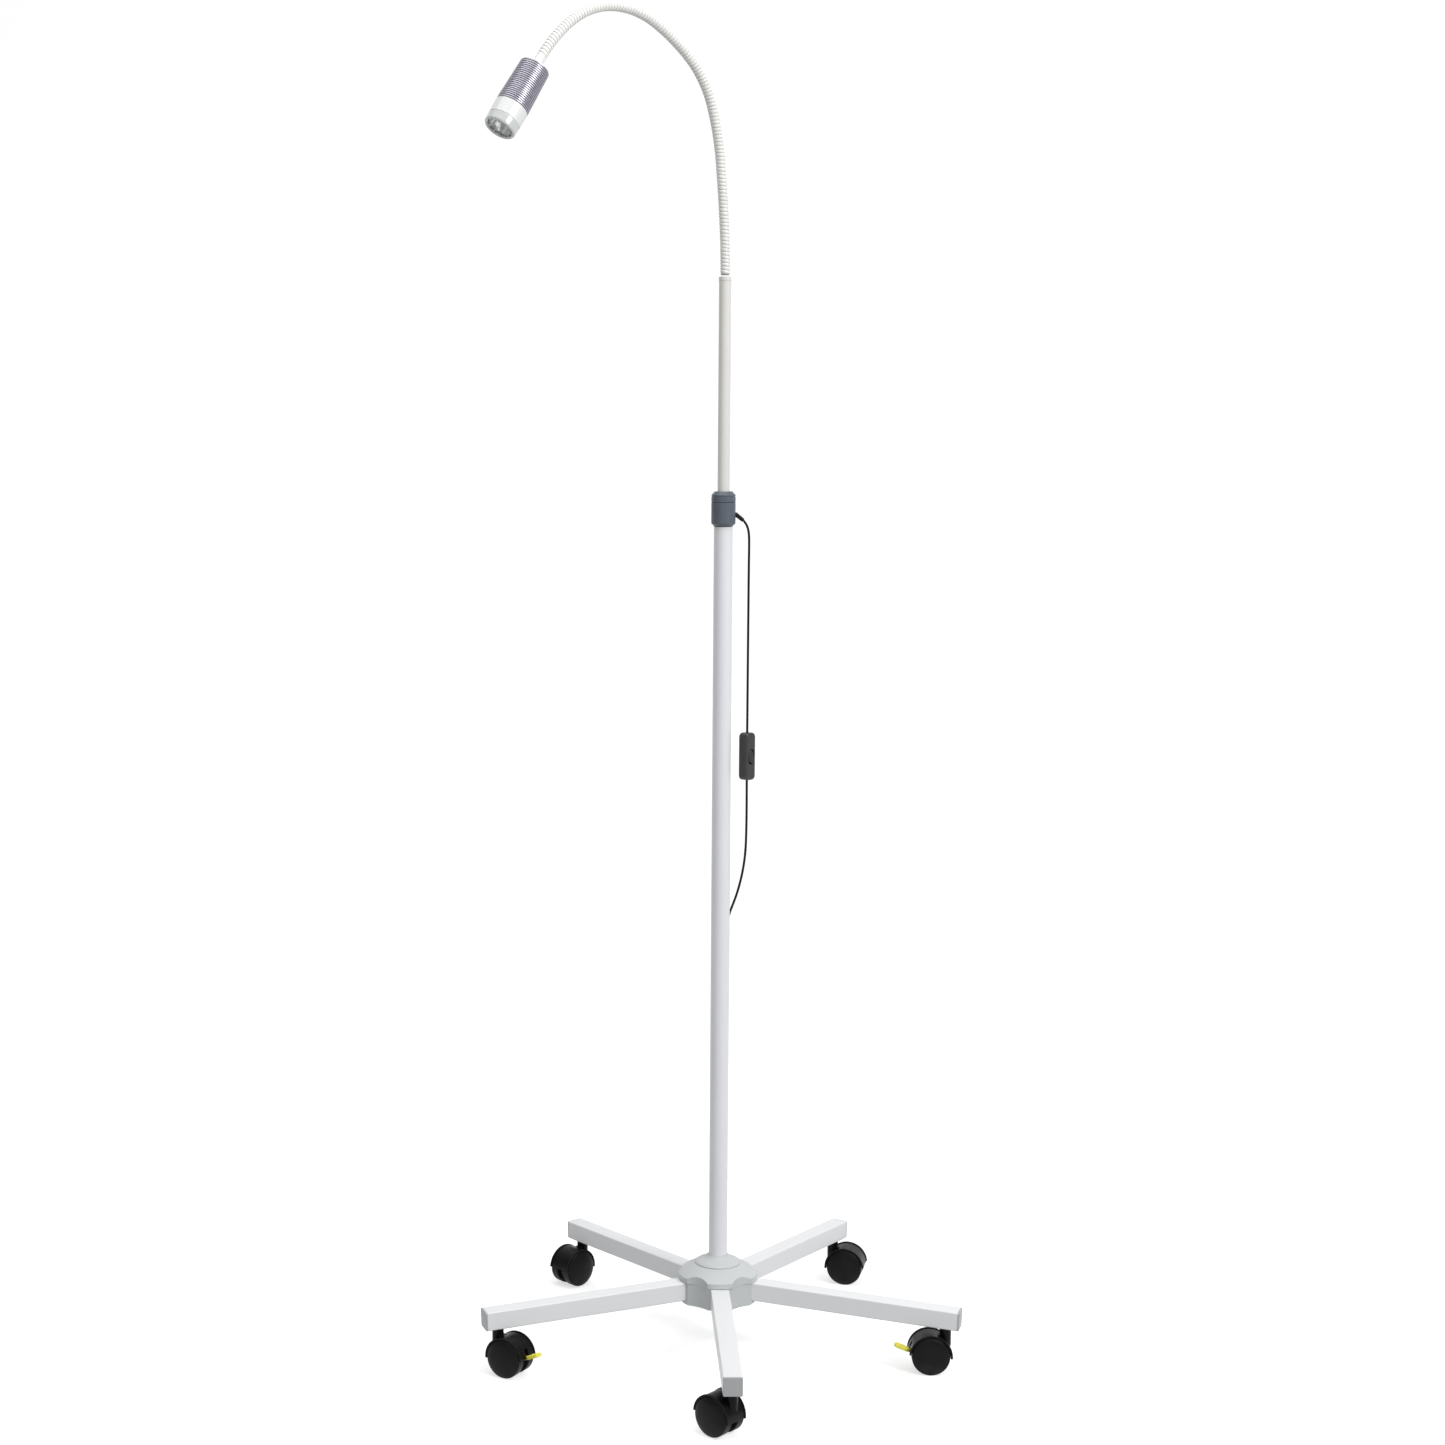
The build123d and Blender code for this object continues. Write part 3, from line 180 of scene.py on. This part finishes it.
class Surface:
    """A Principled material under construction, with object-space noise to work from."""

    def __init__(self, name, colour, roughness, metallic=0.0):
        self.material = bpy.data.materials.new(name)
        self.material.use_nodes = True
        self.tree = self.material.node_tree
        self.tree.nodes.clear()
        self.output = self.node("ShaderNodeOutputMaterial")
        self.shader = self.node("ShaderNodeBsdfPrincipled")
        self.link(self.shader.outputs["BSDF"], self.output.inputs["Surface"])
        self.shader.inputs["Base Color"].default_value = (*colour, 1)
        self.shader.inputs["Roughness"].default_value = roughness
        self.shader.inputs["Metallic"].default_value = metallic
        self.colour = colour
        self.roughness = roughness
        self.place = self.node("ShaderNodeTexCoord").outputs["Object"]
        self.normal = None

    def node(self, kind, **settings):
        made = self.tree.nodes.new(kind)
        for key, value in settings.items():
            setattr(made, key, value)
        return made

    def link(self, a, b):
        self.tree.links.new(a, b)

    def noise(self, scale, detail, stretch=None):
        made = self.node("ShaderNodeTexNoise")
        made.inputs["Scale"].default_value = scale
        made.inputs["Detail"].default_value = detail
        made.inputs["Roughness"].default_value = NOISE_ROUGHNESS
        source = self.place
        if stretch:
            mapping = self.node("ShaderNodeMapping")
            mapping.inputs["Scale"].default_value = stretch
            self.link(self.place, mapping.inputs["Vector"])
            source = mapping.outputs["Vector"]
        self.link(source, made.inputs["Vector"])
        return made.outputs["Fac"]

    def remap(self, value, low, high, to_low, to_high):
        made = self.node("ShaderNodeMapRange")
        made.inputs["From Min"].default_value = low
        made.inputs["From Max"].default_value = high
        made.inputs["To Min"].default_value = to_low
        made.inputs["To Max"].default_value = to_high
        self.link(value, made.inputs["Value"])
        return made.outputs["Result"]

    def mix(self, factor, a, b):
        """Blends two colours; each is a tuple or an output."""
        made = self.node("ShaderNodeMix", data_type="RGBA")
        self.link(factor, made.inputs["Factor"])
        for value, socket in ((a, made.inputs[6]), (b, made.inputs[7])):
            if isinstance(value, tuple):
                socket.default_value = (*value, 1)
            else:
                self.link(value, socket)
        return made.outputs[2]

    def tint(self, spread, scale):
        """Slow colour drift about the base colour."""
        field = self.remap(self.noise(scale, 4.0), 0.3, 0.7, 0, 1)
        dark = tuple(c * (1 - spread) for c in self.colour)
        light = tuple(min(1, c * (1 + spread)) for c in self.colour)
        self.base = self.mix(field, dark, light)
        self.link(self.base, self.shader.inputs["Base Color"])
        return self

    def speckle(self, colour, scale, amount, low=0.58, high=0.72):
        """Fine flecks of another colour."""
        field = self.remap(self.noise(scale, 2.0), low, high, 0, amount)
        self.base = self.mix(field, getattr(self, "base", self.colour), colour)
        self.link(self.base, self.shader.inputs["Base Color"])
        return self

    def dust(self, colour, level, reach, amount):
        """A film that settles from a height downwards, in metres."""
        split = self.node("ShaderNodeSeparateXYZ")
        self.link(self.place, split.inputs["Vector"])
        height = self.remap(split.outputs["Z"], level, level - reach, 0, 1)
        patch = self.remap(self.noise(60, 4.0), 0.35, 0.7, 0, amount)
        both = self.node("ShaderNodeMath", operation="MULTIPLY")
        self.link(height, both.inputs[0])
        self.link(patch, both.inputs[1])
        self.base = self.mix(both.outputs[0], getattr(self, "base", self.colour), colour)
        self.link(self.base, self.shader.inputs["Base Color"])
        return self

    def shade_grooves(self, colour):
        """Painted shade in grooves: darkens the colour where a mesh carries the groove attribute;
        other meshes read it as 0.
        """
        layer = self.node("ShaderNodeAttribute", attribute_name=GROOVE_SHADE_LAYER)
        self.base = self.mix(layer.outputs["Fac"], self.base, colour)
        self.link(self.base, self.shader.inputs["Base Color"])
        return self

    def gloss(self, spread, scale=GLOSS_SCALE):
        """Roughness that wanders a little."""
        low = max(0.02, self.roughness - spread)
        high = min(1, self.roughness + spread)
        self.link(
            self.remap(self.noise(scale, 5.0), 0.3, 0.7, low, high),
            self.shader.inputs["Roughness"],
        )
        return self

    def bump(self, height, distance, strength=1.0):
        made = self.node("ShaderNodeBump")
        made.inputs["Strength"].default_value = strength
        made.inputs["Distance"].default_value = distance
        self.link(height, made.inputs["Height"])
        if self.normal:
            self.link(self.normal, made.inputs["Normal"])
        self.normal = made.outputs["Normal"]
        self.link(self.normal, self.shader.inputs["Normal"])
        return self

    def soften(self, radius):
        """Edges read as rounded off by this radius."""
        made = self.node("ShaderNodeBevel", samples=BEVEL_SAMPLES)
        made.inputs["Radius"].default_value = radius
        self.normal = made.outputs["Normal"]
        self.link(self.normal, self.shader.inputs["Normal"])
        return self

    def grain(self, scale, distance, strength=1.0, detail=2.0, stretch=None):
        return self.bump(self.noise(scale, detail, stretch=stretch), distance, strength)

    def set(self, **inputs):
        for key, value in inputs.items():
            self.shader.inputs[key.replace("_", " ")].default_value = value
        return self


def powder_coat(name, colour, roughness=0.42):
    surface = Surface(name, colour, roughness)
    surface.tint(0.02, 7.0).gloss(0.06)
    surface.soften(0.0005).grain(900, 0.00006, 0.5).grain(160, 0.00012, 0.25)
    surface.set(Coat_Weight=0.12, Coat_Roughness=0.25)
    return surface


LEG_PAINT = powder_coat("leg_powder_coat", (0.80, 0.815, 0.83)).material
POLE_PAINT = powder_coat("pole_powder_coat", (0.78, 0.79, 0.82), 0.36).material
TUBE_PAINT = powder_coat("tube_lacquer", (0.70, 0.695, 0.665), 0.34).material

cap = Surface("end_cap_plastic", (0.43, 0.44, 0.45), 0.48)
cap.tint(0.025, 12).gloss(0.05).soften(0.0005).grain(2200, 0.00004, 0.6)
cap.grain(300, 0.00030, 0.7, stretch=(0.05, 0.05, 1))
CAP = cap.material

hub = Surface("hub_plastic", (0.57, 0.595, 0.60), 0.46)
hub.tint(0.02, 11).speckle((0.46, 0.47, 0.48), 900, 0.35).gloss(0.06)
hub.soften(0.0007).grain(1500, 0.00010, 0.8).grain(420, 0.00012, 0.3)
HUB = hub.material

slate = Surface("coupler_slate", (0.085, 0.102, 0.13), 0.42)
slate.tint(0.10, 60).gloss(0.08).soften(0.0006).grain(2600, 0.00004, 0.7)
SLATE = slate.material

caster = Surface("caster_black", (0.005, 0.005, 0.0055), 0.30)
caster.tint(0.18, 40).dust((0.030, 0.029, 0.027), 0.045, 0.045, 0.35).gloss(0.07, 80)
caster.soften(0.0005).grain(1700, 0.00005, 0.6)
caster.set(Specular_IOR_Level=0.10)
CASTER = caster.material

tread = Surface("wheel_tread", (0.007, 0.007, 0.0075), 0.38)
tread.tint(0.2, 60).dust((0.055, 0.053, 0.049), 0.022, 0.022, 0.5).gloss(0.08, 120)
tread.soften(0.0005).grain(1500, 0.00006, 0.7)
tread.set(Specular_IOR_Level=0.11)
TREAD = tread.material

yellow = Surface("brake_yellow", (0.86, 0.80, 0.09), 0.38)
yellow.tint(0.05, 90).gloss(0.06).soften(0.0006).grain(1800, 0.00004, 0.6)
yellow.set(Subsurface_Weight=0.15, Subsurface_Radius=(0.002, 0.0015, 0.0006))
YELLOW = yellow.material

zinc = Surface("zinc_plate", (0.62, 0.62, 0.61), 0.36, 1.0)
zinc.tint(0.08, 120).gloss(0.10, 200).soften(0.0003)
zinc.grain(2400, 0.00003, 0.5, stretch=(1, 1, 0.15))
ZINC = zinc.material

sink = Surface("anodised_sink", (0.45, 0.435, 0.50), 0.38, 0.6)
sink.tint(0.06, 70).gloss(0.07, 160).soften(0.00025)
sink.grain(2600, 0.00003, 0.5)
SINK = sink.material

white = Surface("head_white", (0.76, 0.765, 0.765), 0.30)
white.tint(0.015, 30).gloss(0.05).soften(0.0006).grain(1400, 0.00004, 0.4)
white.set(Coat_Weight=0.25, Coat_Roughness=0.18)
WHITE = white.material

sleeve = Surface("gooseneck_sleeve", (0.80, 0.80, 0.775), 0.32)
# painted shade: the sleeve is darkened to (0.30, 0.30, 0.29) in its grooves
sleeve.tint(0.02, 40).shade_grooves((0.30, 0.30, 0.29)).gloss(0.06, 120)
sleeve.grain(1800, 0.00003, 0.5)
sleeve.set(Coat_Weight=0.15, Coat_Roughness=0.2)
SLEEVE = sleeve.material

clear_ring = Surface("front_ring_plastic", (0.66, 0.685, 0.68), 0.16)
clear_ring.tint(0.03, 60).gloss(0.04).soften(0.0006).grain(900, 0.00003, 0.4)
clear_ring.set(Coat_Weight=0.6, Coat_Roughness=0.06, Transmission_Weight=0.10)
RING = clear_ring.material

glass = Surface("lens_glass", (0.96, 0.975, 0.98), 0.03)
glass.gloss(0.02, 200).grain(300, 0.00003, 0.15)
glass.set(Transmission_Weight=1.0, IOR=1.46)
GLASS = glass.material

mirror = Surface("reflector_metal", (0.72, 0.73, 0.73), 0.12, 1.0)
mirror.tint(0.05, 120).speckle((0.02, 0.02, 0.025), 130, 0.97, 0.44, 0.52)
mirror.gloss(0.05, 300).grain(420, 0.00030, 0.5)
MIRROR = mirror.material

board = Surface("led_board", (0.05, 0.055, 0.06), 0.4)
board.tint(0.2, 200).speckle((0.5, 0.48, 0.36), 600, 0.9, 0.60, 0.64).gloss(0.1, 300)
board.grain(900, 0.00008, 0.6)
BOARD = board.material

sheath = Surface("lead_sheath", (0.006, 0.006, 0.0065), 0.46)
sheath.tint(0.2, 90).gloss(0.08, 200).grain(2200, 0.00005, 0.7)
sheath.set(Specular_IOR_Level=0.15)
SHEATH = sheath.material

switch = Surface("switch_black", (0.028, 0.028, 0.030), 0.36)
switch.tint(0.12, 90).gloss(0.07, 150).soften(0.0008).grain(1900, 0.00005, 0.7)
SWITCH = switch.material

nickel = Surface("nickel_pins", (0.70, 0.67, 0.60), 0.25, 1.0)
nickel.tint(0.05, 200).gloss(0.08, 300).soften(0.0003).grain(2600, 0.00002, 0.4)
NICKEL = nickel.material

PAINTS = {
    "white_powder": LEG_PAINT,
    "cream_tube": TUBE_PAINT,
    "gooseneck_white": SLEEVE,
    "hub_grey": HUB,
    "cap_white": CAP,
    "coupler_slate": SLATE,
    "caster_black": CASTER,
    "tread_black": TREAD,
    "brake_yellow": YELLOW,
    "zinc_steel": ZINC,
    "sink_lavender": SINK,
    "head_white": WHITE,
    "front_clear": RING,
    "lens_clear": GLASS,
    "mirror_cup": MIRROR,
    "led_board": BOARD,
    "cord_black": SHEATH,
    "switch_black": SWITCH,
    "pin_nickel": NICKEL,
}


def paint(piece, material):
    if not piece.data.materials:
        piece.data.materials.append(material)
    for index in range(len(piece.material_slots)):
        piece.material_slots[index].link = "OBJECT"
        piece.material_slots[index].material = material


for part in frame["record"]["subparts"]:
    paint(NODES[part["node"]], PAINTS[part["material_slot"]])
paint(NODES["lower_pole"], POLE_PAINT)
paint(NODES["pole_bushing"], WHITE)
paint(cord, SHEATH)


# ---------------------------------------------------------------- gooseneck
NECK_AZIMUTH = 40.0
NECK_BASE = 1445.5
LINK_LENGTH = 71.0
LINK_TURNS = (4.5, 2.0, 12.5, 30.5, 15.0, 29.0, 32.0, 18.5)
NECK_RADIUS = 6.5
RIB_PITCH = 4.65
RIB_DEPTH = 1.0
PLAIN_END = 1.2  # at each end the sleeve is turned down to the bottom of its grooves
RING_STEPS = 40
STEPS_PER_RIB = 12
OUTWARD = Vector(
    (-math.cos(math.radians(NECK_AZIMUTH)), -math.sin(math.radians(NECK_AZIMUTH)), 0)
)
UP = Vector((0, 0, 1))
ACROSS = UP.cross(OUTWARD)


def neck_direction(heading):
    return OUTWARD * math.cos(math.radians(heading)) + UP * math.sin(math.radians(heading))


def neck_place(travel):
    """Centreline point (mm) and heading (degrees above level) after a length from the root."""
    place = Vector((0, 0, NECK_BASE))
    heading = 90.0
    for turn in LINK_TURNS:
        part = min(travel, LINK_LENGTH)
        angle = turn * part / LINK_LENGTH
        chord = part * math.sin(math.radians(angle / 2)) / math.radians(angle / 2) if angle else part
        place = place + neck_direction(heading - angle / 2) * chord
        heading -= angle
        travel -= part
        if travel <= 0:
            break
    return place, heading


def rib_radius(travel, turned):
    """A wound sleeve: broad round ribs with a narrow groove between them, on a slow helix."""
    phase = (travel / RIB_PITCH - turned / (2 * math.pi)) % 1.0
    groove = (abs(phase - 0.5) * 2) ** 4  # 1 in the groove, 0 on the crown
    return NECK_RADIUS - RIB_DEPTH * groove


def neck_piece(name, start, end):
    """The sleeve between two lengths from the root, as one open tube."""
    total = LINK_LENGTH * len(LINK_TURNS)
    step = RIB_PITCH / STEPS_PER_RIB
    count = max(2, round((end - start) / step))
    vertices, faces, groove_shade = [], [], []
    for ring in range(count + 1):
        travel = start + (end - start) * ring / count
        place, heading = neck_place(travel)
        normal = neck_direction(heading + 90)
        for side in range(RING_STEPS):
            turned = 2 * math.pi * side / RING_STEPS
            radius = rib_radius(travel, turned)
            if travel < PLAIN_END or total - travel < PLAIN_END:
                radius = NECK_RADIUS - RIB_DEPTH
            spot = place + (normal * math.cos(turned) + ACROSS * math.sin(turned)) * radius
            vertices.append(spot * MM)
            # painted shade mask: 1 at the bottom of a groove and on the plain ends, 0 on a rib's
            # crown
            groove_shade.append(((NECK_RADIUS - radius) / RIB_DEPTH) ** 2)
    for ring in range(count):
        for side in range(RING_STEPS):
            following = (side + 1) % RING_STEPS
            low, high = ring * RING_STEPS, (ring + 1) * RING_STEPS
            faces.append((low + side, low + following, high + following, high + side))
    mesh = bpy.data.meshes.new(name)
    mesh.from_pydata(vertices, [], faces)
    mesh.update()
    mesh.polygons.foreach_set("use_smooth", [True] * len(mesh.polygons))
    # stores the painted shade mask on the mesh for the sleeve material to read
    layer = mesh.attributes.new(GROOVE_SHADE_LAYER, "FLOAT", "POINT")
    layer.data.foreach_set("value", groove_shade)
    mesh.materials.append(SLEEVE)
    piece = bpy.data.objects.new(name, mesh)
    bpy.context.collection.objects.link(piece)
    return piece


LINKS = len(LINK_TURNS)
for index in range(LINKS + 1):
    start = max(0, (index - 0.5) * LINK_LENGTH)
    end = min(LINKS * LINK_LENGTH, (index + 0.5) * LINK_LENGTH)
    piece = neck_piece(f"gooseneck_{index}", start, end)
    neck_place(start)[0] * MM
    neck_place(end)[0] * MM
    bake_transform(piece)
    if index < LINKS:
        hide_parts(f"neck_link_{index + 1}")


# ---------------------------------------------------------------- studio
STAGE_HALF = 9.0  # half its width, and how far it comes forward
STAGE_BACK = 2.6  # where the floor starts to curve up
STAGE_CURVE = 1.6
STAGE_STEPS = 16
STAGE_TOP = 9.0
STAGE_GREY = 0.62


def stage_plane():
    """A floor that curves up into a backdrop behind the lamp."""
    vertices, faces = [], []
    profile = [(-STAGE_HALF, 0.0), (STAGE_BACK, 0.0)]
    for step in range(1, STAGE_STEPS + 1):
        angle = math.pi / 2 * step / STAGE_STEPS
        rise = STAGE_CURVE * (1 - math.cos(angle))
        profile.append((STAGE_BACK + STAGE_CURVE * math.sin(angle), rise))
    profile.append((STAGE_BACK + STAGE_CURVE, STAGE_TOP))
    for y, z in profile:
        vertices += [(-STAGE_HALF, y, z), (STAGE_HALF, y, z)]
    for index in range(len(profile) - 1):
        low = 2 * index
        faces.append((low, low + 1, low + 3, low + 2))
    mesh = bpy.data.meshes.new("sweep")
    mesh.from_pydata(vertices, [], faces)
    mesh.polygons.foreach_set("use_smooth", [True] * len(mesh.polygons))
    material = Surface("sweep_paper", (STAGE_GREY, STAGE_GREY, STAGE_GREY), 0.9)
    material.tint(0.004, 0.7)
    material.set(Emission_Strength=0.62, Specular_IOR_Level=0.1)
    material.shader.inputs["Emission Color"].default_value = (1, 1, 1, 1)
    mesh.materials.append(material.material)
    piece = bpy.data.objects.new("sweep", mesh)
    bpy.context.collection.objects.link(piece)
    piece.visible_diffuse = False


def soft_light(name, place, aim, size, power):
    data = bpy.data.lights.new(name, "AREA")
    data.shape = "RECTANGLE"
    data.size = data.size_y = size
    data.energy = power
    light = bpy.data.objects.new(name, data)
    bpy.context.collection.objects.link(light)
    light.location = place
    direction = Vector(aim) - Vector(place)
    light.rotation_euler = direction.to_track_quat("-Z", "Y").to_euler()


stage_plane()
world = bpy.data.worlds.new("studio")
world.use_nodes = True
background = world.node_tree.nodes["Background"]
background.inputs["Color"].default_value = (1, 1, 1, 1)
background.inputs["Strength"].default_value = 0.42
bpy.context.scene.world = world
soft_light("key", (2.4, -2.2, 3.0), (0, 0, 0.7), 1.6, 95)
soft_light("top", (-0.2, -0.2, 3.8), (0, 0, 0.6), 2.4, 46)
soft_light("front", (-0.6, -4.2, 1.8), (0, 0, 0.8), 2.0, 10)
